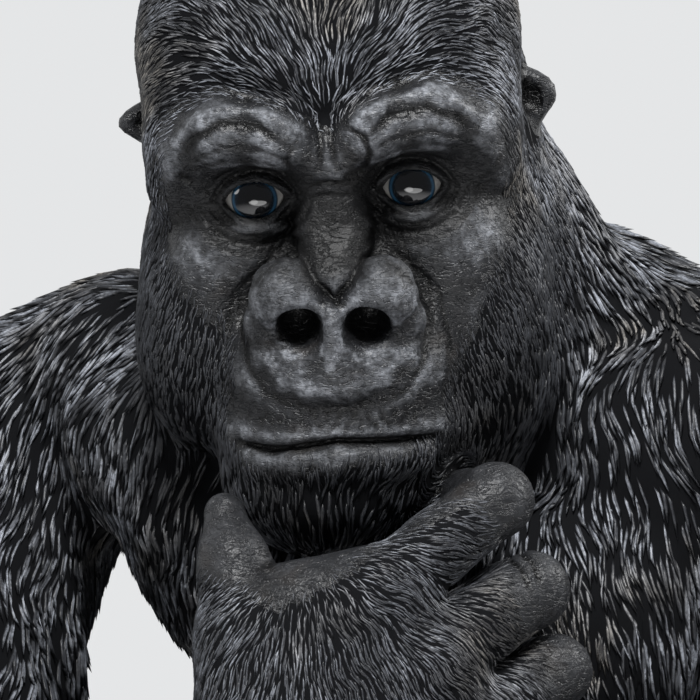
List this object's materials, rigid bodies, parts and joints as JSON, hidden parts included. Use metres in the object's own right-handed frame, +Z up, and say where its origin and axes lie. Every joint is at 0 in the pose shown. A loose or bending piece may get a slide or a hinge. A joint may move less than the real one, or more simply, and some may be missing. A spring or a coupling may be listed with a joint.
{
  "type": "gorilla figurine",
  "caption": "Seated gorilla figurine in a thinker's pose, chin on its right hand, with a sculpted fur coat, bare face and hands, and glossy inset eyes.",
  "frame": {"origin": "on the standing surface, under the front of the rump", "axes": "+Z up, the chest and feet face -Y, +X is to the gorilla's own left"},
  "size_m": [0.6193, 0.6258, 0.7754],
  "materials": {
    "cast_resin": "charcoal cast resin with worn grey highlights, satin on the bare skin",
    "eye_gloss": "high gloss, black pupil in a dark blue iris"
  },
  "bodies": {
    "root": {"gorilla_body": "cast_resin", "eye_right": "eye_gloss", "eye_left": "eye_gloss"}
  },
  "joints": []
}
